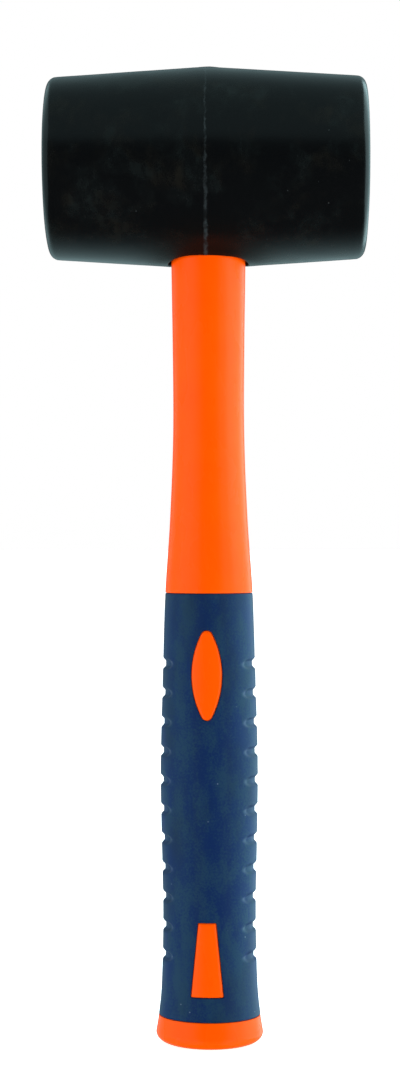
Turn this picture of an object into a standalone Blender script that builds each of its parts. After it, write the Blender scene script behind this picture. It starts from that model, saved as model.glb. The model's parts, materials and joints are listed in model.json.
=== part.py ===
"""Rubber mallet: moulded rubber head on a fibreglass-cored handle with a soft overmoulded grip.

Frame: +Z runs up the handle from the flat of the butt to the head, +X runs along the head to
one striking face. The origin is the middle of the butt's flat face. Lengths are in metres.
"""

from math import asin, atan, cos, pi, radians, sin, tan

import bmesh
import bpy

# Gap between faces that touch on the real mallet.
GAP = 0.0003

# Head: two shallow cones base to base, with flat striking faces. The radii are where the
# cones' straight sides would meet at the middle and at each face, before their edges are rounded.
HEAD_LENGTH = 0.1106
HEAD_CREST_R = 0.03480
HEAD_END_R = 0.03138
HEAD_RIM_R = 0.0033
HEAD_CREST_BLEND = 0.005
HEAD_AXIS_Z = 0.3054
HEAD_SIDES = 56

# Eye: a close mouth, a wider glue pocket and a small hole out of the top of the head.
EYE_MOUTH_R = 0.01325
EYE_MOUTH_TOP_Z = 0.2762
EYE_POCKET_R = 0.0142
EYE_POCKET_TOP_Z = 0.3240
EYE_TOP_R = 0.0070

# Fibreglass core.
CORE_R = 0.0055
CORE_CHAMFER = 0.0004
CORE_BOTTOM_Z = 0.0120
CORE_TOP_Z = 0.3398

# Outside of the handle: height, width along X and depth along Y.
HANDLE_STATIONS = (
    (0.0036, 0.0375, 0.0301),
    (0.0095, 0.0356, 0.0287),
    (0.0200, 0.0336, 0.0272),
    (0.0450, 0.0325, 0.0264),
    (0.0700, 0.0334, 0.0266),
    (0.0960, 0.0341, 0.0270),
    (0.1270, 0.0325, 0.0268),
    (0.1570, 0.0306, 0.0265),
    (0.1820, 0.0272, 0.0255),
    (0.2130, 0.0249, 0.0247),
    (0.2430, 0.0251, 0.0250),
    (0.2700, 0.0259, 0.0259),
)
HANDLE_SIDES = 40

# Half width and half depth of the flat that the butt stands on.
BUTT_FLAT_X = 0.01415
BUTT_FLAT_Y = 0.01220

# Tang: the round end of the handle inside the head, with two glue grooves.
TANG_R = 0.0126
TANG_TOP_Z = 0.3210
TANG_GROOVE_DEPTH = 0.0008
TANG_GROOVE_HALF = 0.0040
TANG_GROOVE_RAMP = 0.0012
TANG_GROOVES_Z = (0.2885, 0.3065)

# Soft grip moulded over a waist in the handle.
GRIP_BOTTOM_Z = 0.0095
GRIP_TOP_Z = 0.1570
GRIP_WALL = 0.0020

# Finger notches down both sides of the grip.
NOTCH_COUNT = 11
NOTCH_FIRST_Z = 0.0308
NOTCH_PITCH = 0.01015
NOTCH_DEPTH = 0.0010
NOTCH_FLOOR = 0.0014
NOTCH_MOUTH = 0.0042
NOTCH_FULL_ANGLE = radians(36)
NOTCH_END_ANGLE = radians(45)

# Windows in the grip, front and back, with an island of the handle standing in each.
ISLAND_SINK = 0.0002
LENS_CENTRE_Z = 0.12875
LENS_HEIGHT = 0.0310
LENS_WIDTH = 0.0107
LENS_TIP_R = 0.0018
WEDGE_BOTTOM_Z = 0.0180
WEDGE_TOP_Z = 0.0436
WEDGE_BOTTOM_WIDTH = 0.0114
WEDGE_TOP_WIDTH = 0.0063
WINDOW_REACH = 0.0400


def clear_scene():
    for old in list(bpy.data.objects):
        bpy.data.objects.remove(old, do_unlink=True)


def collection(name):
    made = bpy.data.collections.new(name)
    bpy.context.scene.collection.children.link(made)
    return made


def linear(hex_colour):
    """sRGB hex to the linear colour that a shader socket holds."""
    values = [int(hex_colour[i:i + 2], 16) / 255 for i in (1, 3, 5)]
    return [v / 12.92 if v <= 0.04045 else ((v + 0.055) / 1.055) ** 2.4 for v in values] + [1.0]


def material(name, hex_colour, roughness):
    made = bpy.data.materials.new(name)
    made.use_nodes = True
    shader = made.node_tree.nodes["Principled BSDF"]
    shader.inputs["Base Color"].default_value = linear(hex_colour)
    shader.inputs["Roughness"].default_value = roughness
    shader.inputs["Metallic"].default_value = 0.0
    made.diffuse_color = linear(hex_colour)
    return made


def add_object(name, mesh, home, finish=None):
    """Put a mesh in its collection; a piece without a finish is a cutter."""
    made = bpy.data.objects.new(name, mesh)
    home.objects.link(made)
    if finish:
        mesh.materials.append(finish)
    else:
        made.hide_render = True
        made.display_type = "WIRE"
    return made


def smooth(mesh):
    mesh.shade_smooth()
    mesh.set_sharp_from_angle(angle=radians(30))


def arc(centre_r, centre_z, radius, start, end, steps):
    """Points on an arc in the (radius, height) plane, from one angle to another."""
    angles = [start + (end - start) * i / steps for i in range(steps + 1)]
    return [(centre_r + radius * cos(a), centre_z + radius * sin(a)) for a in angles]


def turned(name, profile, sides, home, finish=None):
    """A solid of revolution about Z; the profile runs down its outer side, top to bottom."""
    mesh = bpy.data.meshes.new(name)
    edges = [(i, i + 1) for i in range(len(profile) - 1)]
    mesh.from_pydata([(r, 0, z) for r, z in profile], edges, [])
    made = add_object(name, mesh, home, finish)
    screw = made.modifiers.new("turn", "SCREW")
    screw.steps = sides
    screw.render_steps = sides
    screw.use_merge_vertices = True
    screw.merge_threshold = 0.00001
    return made


def lofted(name, rings, home, finish=None, hollow=False):
    """Skin a stack of rings of equal count: capped at both ends, or closed round on itself."""
    shape = bmesh.new()
    rows = [[shape.verts.new(point) for point in ring] for ring in rings]
    count = len(rows[0])
    pairs = list(zip(rows, rows[1:]))
    if hollow:
        pairs.append((rows[-1], rows[0]))
    else:
        shape.faces.new(reversed(rows[0]))
        shape.faces.new(rows[-1])
    for low, high in pairs:
        for i in range(count):
            j = (i + 1) % count
            shape.faces.new((low[i], low[j], high[j], high[i]))
    mesh = bpy.data.meshes.new(name)
    shape.to_mesh(mesh)
    shape.free()
    return add_object(name, mesh, home, finish)


def plate(name, outline, home):
    """A flat outline in the XZ plane, thick enough along Y to pass through the handle."""
    curve = bpy.data.curves.new(name, "CURVE")
    curve.dimensions = "2D"
    curve.fill_mode = "BOTH"
    curve.extrude = WINDOW_REACH / 2
    spline = curve.splines.new("POLY")
    spline.points.add(len(outline) - 1)
    for point, (x, z) in zip(spline.points, outline):
        point.co = (x, z, 0, 1)
    spline.use_cyclic_u = True
    flat = bpy.data.objects.new(name, curve)
    home.objects.link(flat)
    flat.rotation_euler = (pi / 2, 0, 0)
    bpy.context.view_layer.update()
    placed = flat.matrix_world.copy()
    mesh = bpy.data.meshes.new_from_object(flat.evaluated_get(bpy.context.evaluated_depsgraph_get()))
    bpy.data.objects.remove(flat, do_unlink=True)
    bpy.data.curves.remove(curve)
    shape = bmesh.new()
    shape.from_mesh(mesh)
    bmesh.ops.remove_doubles(shape, verts=shape.verts, dist=0.000001)
    bmesh.ops.recalc_face_normals(shape, faces=shape.faces)
    shape.to_mesh(mesh)
    shape.free()
    made = add_object(name, mesh, home)
    made.matrix_world = placed
    return made


def combine(target, other, operation):
    step = target.modifiers.new(operation.lower() + "_" + other.name, "BOOLEAN")
    step.operation = operation
    step.solver = "EXACT"
    step.object = other


def handle_half_sizes(z):
    """Half width and half depth of the handle at a height, on a smooth curve through the stations."""
    rows = HANDLE_STATIONS
    z = min(max(z, rows[0][0]), rows[-1][0])
    k = max(i for i in range(len(rows) - 1) if rows[i][0] <= z)

    def slope(i, column):
        a, b = rows[max(i - 1, 0)], rows[min(i + 1, len(rows) - 1)]
        return (b[column] - a[column]) / (b[0] - a[0])

    span = rows[k + 1][0] - rows[k][0]
    t = (z - rows[k][0]) / span
    sizes = []
    for column in (1, 2):
        rise = t * t * (3 - 2 * t)
        lead = t * (1 - t) ** 2 * span * slope(k, column)
        trail = t * t * (t - 1) * span * slope(k + 1, column)
        value = rows[k][column] * (1 - rise) + rows[k + 1][column] * rise + lead + trail
        sizes.append(value / 2)
    return sizes


def ring(z, half_x, half_y, inset=None):
    """An oval ring of points; inset gives how far each point is pulled in along the radius."""
    points = []
    for i in range(HANDLE_SIDES):
        angle = 2 * pi * i / HANDLE_SIDES
        pull = inset(angle) if inset else 0
        points.append(((half_x - pull) * cos(angle), (half_y - pull) * sin(angle), z))
    return points


def handle_ring(z, inset=0.0):
    half_x, half_y = handle_half_sizes(z)
    return ring(z, half_x - inset, half_y - inset)


def station_levels(low, high):
    """Both ends of a stretch of the handle and the stations between them."""
    return [low] + [row[0] for row in HANDLE_STATIONS if low < row[0] < high] + [high]


def notch_share(angle):
    """1 across the side of the grip, falling to 0 past the notch's rounded end."""
    from_side = abs(asin(sin(angle)))
    share = (NOTCH_END_ANGLE - from_side) / (NOTCH_END_ANGLE - NOTCH_FULL_ANGLE)
    return min(max(share, 0), 1)


def lens_outline(grow):
    """A pointed oval with rounded tips, from two side arcs; grow moves it outwards."""
    half_w = LENS_WIDTH / 2 + grow
    half_h = LENS_HEIGHT / 2 + grow
    tip = LENS_TIP_R + grow
    tip_z = half_h - tip
    side_r = (half_w ** 2 + tip_z ** 2 - tip ** 2) / (2 * (half_w - tip))
    sweep = asin(tip_z / (side_r - tip))
    right = arc(half_w - side_r, 0, side_r, -sweep, sweep, 10)
    top = arc(0, tip_z, tip, sweep, pi - sweep, 6)
    half = right + top[1:-1]
    turned_half = [(-x, -z) for x, z in half]
    return [(x, LENS_CENTRE_Z + z) for x, z in half + turned_half]


def wedge_outline(grow):
    """A tall trapezoid, narrower at the top."""
    low, high = WEDGE_BOTTOM_Z - grow, WEDGE_TOP_Z + grow
    bottom, top = WEDGE_BOTTOM_WIDTH / 2 + grow, WEDGE_TOP_WIDTH / 2 + grow
    return [(-bottom, low), (bottom, low), (top, high), (-top, high)]


def head_profile():
    """Half section of the head down its length: face, rim, cone, crest and the same again."""
    half = HEAD_LENGTH / 2
    lean = atan((HEAD_CREST_R - HEAD_END_R) / half)
    rim_z = half - HEAD_RIM_R
    rim_r = HEAD_CREST_R - rim_z * tan(lean) - HEAD_RIM_R / cos(lean)
    crest_r = HEAD_CREST_BLEND / sin(lean)
    rim = arc(rim_r, rim_z, HEAD_RIM_R, pi / 2, lean, 5)
    crest = arc(HEAD_CREST_R - crest_r / cos(lean), 0, crest_r, lean, 0, 2)
    upper = [(0, half)] + rim + crest
    return upper + [(r, -z) for r, z in reversed(upper[:-1])]


def make_head(parts, cutters, rubber):
    head = turned("head", head_profile(), HEAD_SIDES, parts, rubber)
    head.rotation_euler = (0, pi / 2, 0)
    head.location = (0, 0, HEAD_AXIS_Z)
    reach = HEAD_CREST_R + 0.01
    eye = turned(
        "eye_cutter",
        [
            (0, HEAD_AXIS_Z + reach),
            (EYE_TOP_R, HEAD_AXIS_Z + reach),
            (EYE_TOP_R, EYE_POCKET_TOP_Z),
            (EYE_POCKET_R, EYE_POCKET_TOP_Z),
            (EYE_POCKET_R, EYE_MOUTH_TOP_Z),
            (EYE_MOUTH_R, EYE_MOUTH_TOP_Z),
            (EYE_MOUTH_R, HEAD_AXIS_Z - reach),
            (0, HEAD_AXIS_Z - reach),
        ],
        HANDLE_SIDES,
        cutters,
    )
    combine(head, eye, "DIFFERENCE")


def tang_profile(offset):
    """Outside of the tang from its top down to the eye's mouth, moved outwards by an offset."""
    points = [(TANG_R + offset, TANG_TOP_Z + offset)]
    outer, floor = TANG_R + offset, TANG_R - TANG_GROOVE_DEPTH + offset
    for z in reversed(TANG_GROOVES_Z):
        points += [
            (outer, z + TANG_GROOVE_HALF),
            (floor, z + TANG_GROOVE_HALF - TANG_GROOVE_RAMP),
            (floor, z - TANG_GROOVE_HALF + TANG_GROOVE_RAMP),
            (outer, z - TANG_GROOVE_HALF),
        ]
    points.append((outer, EYE_MOUTH_TOP_Z + GAP))
    return points


def jacket_rings():
    """Rings of the handle from the butt's flat face up to the top of the tang."""
    widest_z = HANDLE_STATIONS[0][0]
    wide_x, wide_y = handle_half_sizes(widest_z)
    rings = []
    for out, z in arc(0, widest_z, widest_z, -pi / 2, 0, 4)[:-1]:
        share = out / widest_z
        half_x = BUTT_FLAT_X + (wide_x - BUTT_FLAT_X) * share
        half_y = BUTT_FLAT_Y + (wide_y - BUTT_FLAT_Y) * share
        rings.append(ring(z, half_x, half_y))
    rings += [handle_ring(z) for z in station_levels(widest_z, GRIP_BOTTOM_Z)]
    rings += [handle_ring(z, GRIP_WALL) for z in station_levels(GRIP_BOTTOM_Z, GRIP_TOP_Z)]
    shaft_top = EYE_MOUTH_TOP_Z - GAP
    levels = station_levels(GRIP_TOP_Z, shaft_top)
    for low, high in zip(levels, levels[1:]):
        rings += [handle_ring(low), handle_ring((low + high) / 2)]
    rings.append(handle_ring(shaft_top))
    rings += [ring(z, r, r) for r, z in reversed(tang_profile(0))]
    return rings


def make_islands(cutters):
    """Bars through the handle whose ends are the islands seen in the grip's windows."""
    islands = []
    for name, outline in (("lens", lens_outline(0)), ("wedge", wedge_outline(0))):
        low, high = min(z for x, z in outline), max(z for x, z in outline)
        steps = 8
        levels = [low - GRIP_WALL + (high - low + 2 * GRIP_WALL) * i / steps for i in range(steps + 1)]
        bar = lofted(name + "_island", [handle_ring(z, ISLAND_SINK) for z in levels], cutters)
        combine(bar, plate(name + "_island_edge", outline, cutters), "INTERSECT")
        islands.append(bar)
    return islands


def make_handle_jacket(parts, cutters, plastic):
    jacket = lofted("handle_jacket", jacket_rings(), parts, plastic)
    for island in make_islands(cutters):
        combine(jacket, island, "UNION")
    bore = turned(
        "core_bore_cutter",
        [
            (0, TANG_TOP_Z + 0.01),
            (CORE_R + GAP, TANG_TOP_Z + 0.01),
            (CORE_R + GAP, CORE_BOTTOM_Z - GAP),
            (0, CORE_BOTTOM_Z - GAP),
        ],
        HANDLE_SIDES // 2,
        cutters,
    )
    combine(jacket, bore, "DIFFERENCE")
    smooth(jacket.data)


def make_core_rod(parts, fibreglass):
    bevel_r = CORE_R - CORE_CHAMFER
    turned(
        "core_rod",
        [
            (0, CORE_TOP_Z),
            (bevel_r, CORE_TOP_Z),
            (CORE_R, CORE_TOP_Z - CORE_CHAMFER),
            (CORE_R, CORE_BOTTOM_Z + CORE_CHAMFER),
            (bevel_r, CORE_BOTTOM_Z),
            (0, CORE_BOTTOM_Z),
        ],
        HANDLE_SIDES // 2,
        parts,
        fibreglass,
    )


def make_eye_epoxy(parts, epoxy):
    """Glue set round the tang, over its top and up round the core to the top of the head."""
    pocket_r = EYE_POCKET_R - GAP
    neck_r = EYE_TOP_R - GAP
    bore_r = CORE_R + GAP
    outside = [
        (bore_r, CORE_TOP_Z),
        (neck_r, CORE_TOP_Z),
        (neck_r, EYE_POCKET_TOP_Z - GAP),
        (pocket_r, EYE_POCKET_TOP_Z - GAP),
        (pocket_r, EYE_MOUTH_TOP_Z + GAP),
    ]
    inside = [(bore_r, TANG_TOP_Z + GAP)] + tang_profile(GAP)
    turned("eye_epoxy", outside + list(reversed(inside)) + outside[:1], HANDLE_SIDES, parts, epoxy)


def make_grip(parts, cutters, soft_rubber):
    low, high = GRIP_BOTTOM_Z + GAP, GRIP_TOP_Z - GAP
    depth_at = {low: 0.0, high: 0.0}
    for i in range(NOTCH_COUNT):
        centre = NOTCH_FIRST_Z + i * NOTCH_PITCH
        for side in (-1, 1):
            depth_at[centre + side * NOTCH_MOUTH / 2] = 0.0
            depth_at[centre + side * NOTCH_FLOOR / 2] = NOTCH_DEPTH
    rings = []
    for z in sorted(depth_at):
        half_x, half_y = handle_half_sizes(z)
        rings.append(ring(z, half_x, half_y, lambda angle: depth_at[z] * notch_share(angle)))
    inner = [handle_ring(z, GRIP_WALL - GAP) for z in station_levels(low, high)]
    grip = lofted("grip", rings + inner[::-1], parts, soft_rubber, hollow=True)
    for name, outline in (("lens", lens_outline(GAP)), ("wedge", wedge_outline(GAP))):
        combine(grip, plate(name + "_window_cutter", outline, cutters), "DIFFERENCE")
    smooth(grip.data)


def main():
    clear_scene()
    parts = collection("rubber_mallet")
    cutters = collection("cutters")
    make_head(parts, cutters, material("black_rubber", "#1b2021", 0.55))
    make_handle_jacket(parts, cutters, material("orange_polypropylene", "#fb5f0a", 0.42))
    make_core_rod(parts, material("pultruded_fibreglass", "#d8cf9e", 0.50))
    make_eye_epoxy(parts, material("black_epoxy", "#17181a", 0.35))
    make_grip(parts, cutters, material("navy_thermoplastic_rubber", "#1f3658", 0.60))


main()
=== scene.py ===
"""Looks of the rubber mallet: finished meshes, materials, studio light and camera round the frame.

Frame: +Z runs up the handle from the butt to the head, +X along the head to one striking face,
and -Y faces the camera. Lengths are in metres.
"""

import json
from math import asin, atan, ceil, copysign, cos, exp, hypot, pi, radians, sin, sqrt, tan

import bmesh
import bpy
from mathutils import Matrix, Vector, noise


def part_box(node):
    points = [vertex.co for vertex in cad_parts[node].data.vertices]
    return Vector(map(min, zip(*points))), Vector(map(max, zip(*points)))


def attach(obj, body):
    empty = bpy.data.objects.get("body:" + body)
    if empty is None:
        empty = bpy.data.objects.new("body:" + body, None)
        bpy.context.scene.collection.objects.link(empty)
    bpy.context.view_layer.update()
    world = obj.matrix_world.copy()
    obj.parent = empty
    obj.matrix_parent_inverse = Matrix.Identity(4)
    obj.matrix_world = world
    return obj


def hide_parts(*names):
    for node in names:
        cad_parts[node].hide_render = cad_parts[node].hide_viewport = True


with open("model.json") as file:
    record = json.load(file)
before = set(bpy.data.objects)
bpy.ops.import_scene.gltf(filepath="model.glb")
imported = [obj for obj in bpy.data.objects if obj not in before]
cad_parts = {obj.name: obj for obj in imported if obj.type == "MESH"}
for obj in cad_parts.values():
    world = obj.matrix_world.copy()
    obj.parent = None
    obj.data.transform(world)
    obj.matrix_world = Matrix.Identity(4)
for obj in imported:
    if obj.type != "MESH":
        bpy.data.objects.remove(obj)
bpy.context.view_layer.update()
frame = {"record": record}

MM = 0.001
MOUNTS = {mount["name"]: Vector(mount["pos_m"]) for mount in frame["record"]["mounts"]}
JACKET_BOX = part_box("handle_jacket")
GRIP_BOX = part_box("grip")
CORE_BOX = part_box("core_rod")
GLUE_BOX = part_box("eye_epoxy")

# Edges that turn more sharply than this are shaded sharp.
SHARP_ANGLE = radians(38)

# Rings of quads that close a net in on an opening, and how they crowd towards its edge.
NET_RINGS = 7
NET_CROWDING = 1.4

# Head: two shallow cones base to base. The radii are where the straight sides would meet at the
# middle and at each face; the middle is rounded over the crest blend, each face by the rim.
HEAD_HALF = MOUNTS["striking_face_right"].x
HEAD_AXIS_Z = MOUNTS["striking_face_right"].z
HEAD_CREST_R = 34.80 * MM
HEAD_END_R = 31.38 * MM
HEAD_RIM_R = 3.3 * MM
HEAD_CREST_BLEND = 5.0 * MM
HEAD_LEAN = atan((HEAD_CREST_R - HEAD_END_R) / HEAD_HALF)
HEAD_RIM_X = HEAD_HALF - HEAD_RIM_R
HEAD_RIM_CENTRE_R = HEAD_CREST_R - HEAD_RIM_X * tan(HEAD_LEAN) - HEAD_RIM_R / cos(HEAD_LEAN)

# Net of the head: columns all round, rows out from the parting line as stops and a spacing, and the
# rings of a face as shares of its flat radius. The faces sink a hair so that no ripple passes the CAD
# face. Ripples are given as height, size and seed.
HEAD_COLUMNS = 240
HEAD_ROW_RUNS = (
    ((0.0, 0.6 * MM), 0.1 * MM),
    ((0.6 * MM, 1.2 * MM), 0.2 * MM),
    ((1.2 * MM, 2.4 * MM), 0.4 * MM),
    ((2.4 * MM, 10 * MM, 20 * MM, HEAD_RIM_X - 1 * MM), 1.3 * MM),
)
HEAD_RIM_STEPS = 10
FACE_SHARES = (0.97, 0.9, 0.8, 0.7, 0.6, 0.5, 0.4, 0.3, 0.2, 0.1)
FACE_SINK = 0.06 * MM
HEAD_RIPPLES = ((0.05 * MM, 17 * MM, 3.1), (0.012 * MM, 5 * MM, 8.3))

# As glued up: the head sits a hair off the middle of the handle, and the handle is turned a little.
HEAD_SHIFT = -0.5 * MM
HANDLE_TURN = radians(-3.0)

# Flash bead left by the mould on the parting line round the middle of the head. Its vigour is a mean
# and layers of noise, and it breaks off where that falls to nothing.
FLASH_X = HEAD_SHIFT - 0.2 * MM
FLASH_HEIGHT = 0.11 * MM
FLASH_HALF_WIDTH = 0.22 * MM
FLASH_WANDER = 0.10 * MM
FLASH_WANDER_SIZE = 7 * MM
FLASH_REACH = 2 * MM
FLASH_VIGOUR = 0.30
FLASH_BREAKS = ((0.85, 4.2 * MM, 1.4), (0.50, 1.7 * MM, 9.6))
CHALK_KINK = 2.0 * MM

# Eye: a close mouth with a swollen lip, stretched wide and squared a little (at 1 it would be round),
# then a glue pocket and a small hole at the top.
EYE_MOUTH_R = 13.25 * MM
EYE_MOUTH_EDGE_R = 0.45 * MM
EYE_MOUTH_OVAL = 0.80 * MM
EYE_MOUTH_SQUARE = 0.84
EYE_LIP = 0.42 * MM
EYE_LIP_REACH = 3.2 * MM
EYE_LIP_BULGE_X = 7.0 * MM
EYE_LIP_BULGE_REACH = 4 * MM
EYE_MOUTH_TOP_Z = 276.2 * MM
EYE_POCKET_R = 14.2 * MM
EYE_POCKET_TOP_Z = 324.0 * MM
EYE_TOP_R = 7.0 * MM
EYE_TOP_EDGE_R = 0.45 * MM
EYE_EDGE_STEPS = 7

# Part of the net kept clear round each hole: half its length along X and half its angle.
EYE_MOUTH_CLEAR = (20 * MM, radians(33))
EYE_TOP_CLEAR = (10 * MM, radians(18))

# Outside of the handle: height, width along X and depth along Y, in millimetres. Then the flat and
# the rolled edge of the butt, the shaft's end in the eye, the tang, and the bore round the rod.
HANDLE_STATIONS = (
    (3.6, 37.5, 30.1),
    (9.5, 35.6, 28.7),
    (20.0, 33.6, 27.2),
    (45.0, 32.5, 26.4),
    (70.0, 33.4, 26.6),
    (96.0, 34.1, 27.0),
    (127.0, 32.5, 26.8),
    (157.0, 30.6, 26.5),
    (182.0, 27.2, 25.5),
    (213.0, 24.9, 24.7),
    (243.0, 25.1, 25.0),
    (270.0, 25.9, 25.9),
)
BUTT_WIDEST_Z = HANDLE_STATIONS[0][0] * MM
BUTT_FLAT_X = 14.15 * MM
BUTT_FLAT_Y = 12.20 * MM
BUTT_FLAT_SHARES = (0.15, 0.3, 0.45, 0.6, 0.75, 0.88, 0.96)
BUTT_EDGE_STEPS = 14
SHAFT_END_Z = 276.0 * MM
TANG_R = 12.6 * MM
TANG_CHAMFER = 0.5 * MM
CORE_R = (CORE_BOX[1].x - CORE_BOX[0].x) / 2
CORE_BEVEL = 0.3 * MM
PIECE_GAP = 0.3 * MM
BORE_R = CORE_R + PIECE_GAP
BORE_END_Z = CORE_BOX[0].z - PIECE_GAP
JACKET_COLUMNS = 144
BUTT_ROW_STEP = 0.9 * MM
SHAFT_ROW_STEP = 1.5 * MM
WAIST_ROW_STEP = 1.6 * MM
JACKET_RIPPLES = ((0.02 * MM, 14 * MM, 4.2),)

# Core and glue: the sawn end is uneven, and the glue's top is dished, slopes outwards and wobbles.
CORE_COLUMNS = 90
WOBBLE_SIZE = 3.0 * MM
SAW_WOBBLE, SAW_SEED = 0.03 * MM, 7.0
SAWN_SHARES = (0.15, 0.3, 0.5, 0.7, 0.85)
CORE_SAWN_END = 4 * MM
GLUE_WOBBLE, GLUE_SEED = 0.08 * MM, 2.0
GLUE_SHARES = (0.0, 0.15, 0.35, 0.5, 0.65, 0.85, 1.0)
GLUE_SINK = 0.12 * MM
GLUE_DIP = 0.32 * MM
GLUE_SLOPE = 0.18 * MM
GLUE_CLEARANCE = 0.02 * MM
GLUE_OVER_TANG = 0.05 * MM
GLUE_ABOVE_TANG = 0.2 * MM

# Grip: a moulded sleeve between two shoulders of the handle. A hairline stays open at each end.
GRIP_WALL = 2.0 * MM
HAIRLINE = 0.14 * MM
GRIP_LOW_Z = GRIP_BOX[0].z - PIECE_GAP + HAIRLINE
GRIP_HIGH_Z = GRIP_BOX[1].z + PIECE_GAP - HAIRLINE
GRIP_LINING_INSET = GRIP_WALL - 0.1 * MM
GRIP_EDGE_R = 0.35 * MM
GRIP_EDGE_STEPS = 5
SHOULDER_EDGE_R = 0.22 * MM
SHOULDER_EDGE_STEPS = 4
GRIP_RIPPLES = ((0.025 * MM, 9 * MM, 6.4),)

# Net of the grip: rows, and columns over a quarter turn from its side, as stops and a spacing in
# degrees. They are closer together where the notches end.
GRIP_ROW_STEP = 1.4 * MM
GRIP_COLUMN_RUNS = (((0, 28), 3.5), ((28, 48), 1.25), ((48, 90), 3.0))

# Finger notches: slots with round ends, sunk into both sides of the grip. The ramp is the slope from
# the mouth down to the floor, and the tail is the length of a rounded end.
NOTCH_COUNT = 11
NOTCH_FIRST_Z = 30.8 * MM
NOTCH_PITCH = 10.15 * MM
NOTCH_DEPTH = 1.02 * MM
NOTCH_HALF_MOUTH = 2.15 * MM
NOTCH_RAMP = 1.45 * MM
NOTCH_TAIL = 3.6 * MM
NOTCH_REACH_Y = 9.5 * MM
NOTCH_ROW_STEP = 0.36 * MM
NOTCH_BETWEEN_STEP = 1.5 * MM

# Windows in the grip with an island of the handle in each: a pointed oval, the lens, above, and a
# trapezoid, the wedge, below. An island's edge is rolled over its width and drops by the depth given.
WINDOW_EDGE_R = 0.28 * MM
WINDOW_EDGE_STEPS = 4
WINDOW_CLEARANCE = 0.10 * MM
ISLAND_SINK = 0.16 * MM
ISLAND_EDGE_WIDTH = 1.15 * MM
ISLAND_EDGE_DROP = 0.45 * MM
ISLAND_EDGE_STEPS = 7
LENS_CENTRE_Z = 128.75 * MM
LENS_HALF_HEIGHT = 15.5 * MM
LENS_HALF_WIDTH = 5.35 * MM
LENS_TIP_R = 2.15 * MM
WEDGE_LOW_Z = 18.0 * MM
WEDGE_HIGH_Z = 43.6 * MM
WEDGE_LOW_HALF = 5.70 * MM
WEDGE_HIGH_HALF = 3.15 * MM
WEDGE_CORNER_R = 0.45 * MM
WEDGE_LEAST_CORNER_R = 0.12 * MM
WEDGE_CORNER_SHARE = 0.16
WINDOW_MARGIN_Z = 3.0 * MM
WINDOW_HALF_ANGLE = radians(30)
FRONT, BACK = radians(270), radians(90)

# Gate mark above the front trapezoid, where the grip was injected: full height out to 0.6 of its
# radius, and gone at 1.6.
GATE_Z = 47.0 * MM
GATE_R = 0.75 * MM
GATE_SKIRT = 1.6
GATE_HEIGHT = 0.28 * MM

# Where the marks lie on the head: a ring round the eye, dulled by soil and warmer for a painted
# reflection of the orange handle, chalk that spreads below the middle, and faces dulled by blows.
SOIL_AND_REFLECTION_FAR_R, SOIL_AND_REFLECTION_NEAR_R = 32 * MM, 16 * MM
SOIL_AND_REFLECTION_HIGH_Z, SOIL_AND_REFLECTION_LOW_Z = 291 * MM, 278 * MM
SMUDGE_HIGH_Z, SMUDGE_LOW_Z = 315 * MM, 290 * MM
STRUCK_FROM_X, STRUCK_TO_X = HEAD_HALF - 0.45 * MM, HEAD_HALF - 0.2 * MM

# Band near the top of the grip that the hand soils.
HAND_SOIL_LOW_Z, HAND_SOIL_HIGH_Z = 138 * MM, 156 * MM

# Studio: the faint green-blue of the softboxes and cards, the point that lamps aim at, and the floor.
LIGHT_TINT = "#d0faff"
MALLET_MIDDLE = (0, 0, 0.17)
FLOOR_Z = -0.2 * MM
FLOOR_HALF = 40.0


# ---------------------------------------------------------------- mesh helpers


def ring_of(shape, points):
    return [shape.verts.new(point) for point in points]


def join_rings(shape, first, second):
    """Quads between two closed rings of the same count."""
    for i in range(len(first)):
        j = (i + 1) % len(first)
        shape.faces.new((first[i], first[j], second[j], second[i]))


def run_rings(shape, start, rings):
    """Carry a closed ring on through more rings and return the last one."""
    for points in rings:
        ring = ring_of(shape, points)
        join_rings(shape, start, ring)
        start = ring
    return start


def close_ring(shape, ring, centre):
    """A fan from a ring to a point."""
    tip = shape.verts.new(centre)
    for i in range(len(ring)):
        shape.faces.new((ring[i], ring[(i + 1) % len(ring)], tip))


def bridge(shape, first, second):
    """Faces between two closed rings of different counts."""
    edges = []
    for ring in (first, second):
        for i in range(len(ring)):
            edges.append(shape.edges.get((ring[i], ring[(i + 1) % len(ring)])))
    bmesh.ops.bridge_loops(shape, edges=edges)


def nearest(values, wanted):
    """Place in the list of the value nearest to the wanted one."""
    return min(range(len(values)), key=lambda i: abs(values[i] - wanted))


def spread(stops, step):
    """Values from the first stop to the last, through every stop, no further apart than step."""
    values = [stops[0]]
    for low, high in zip(stops, stops[1:]):
        count = max(1, ceil((high - low) / step - 1e-6))
        values += [low + (high - low) * i / count for i in range(1, count + 1)]
    return values


def stepped(runs):
    """Values through several runs, each with stops and a spacing of its own."""
    values = [runs[0][0][0]]
    for stops, step in runs:
        values += spread(stops, step)[1:]
    return values


def angles_round(count):
    """Equal steps of angle all the way round."""
    return [radians(360 / count * i) for i in range(count)]


def quarter_turns(steps):
    """Angles from 0 to a quarter turn."""
    return [pi / 2 * i / steps for i in range(steps + 1)]


def block_sides(columns, rows, block):
    """Grid places round a block of the net: four sides in order, each with its share along it."""
    (i0, i1), (j0, j1) = block
    wide, tall = columns[i1] - columns[i0], rows[j1] - rows[j0]
    low = [((i, j0), (columns[i] - columns[i0]) / wide) for i in range(i0, i1)]
    right = [((i1, j), (rows[j] - rows[j0]) / tall) for j in range(j0, j1)]
    high = [((i, j1), (columns[i1] - columns[i]) / wide) for i in range(i1, i0, -1)]
    left = [((i0, j), (rows[j1] - rows[j]) / tall) for j in range(j1, j0, -1)]
    return [low, right, high, left]


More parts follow.
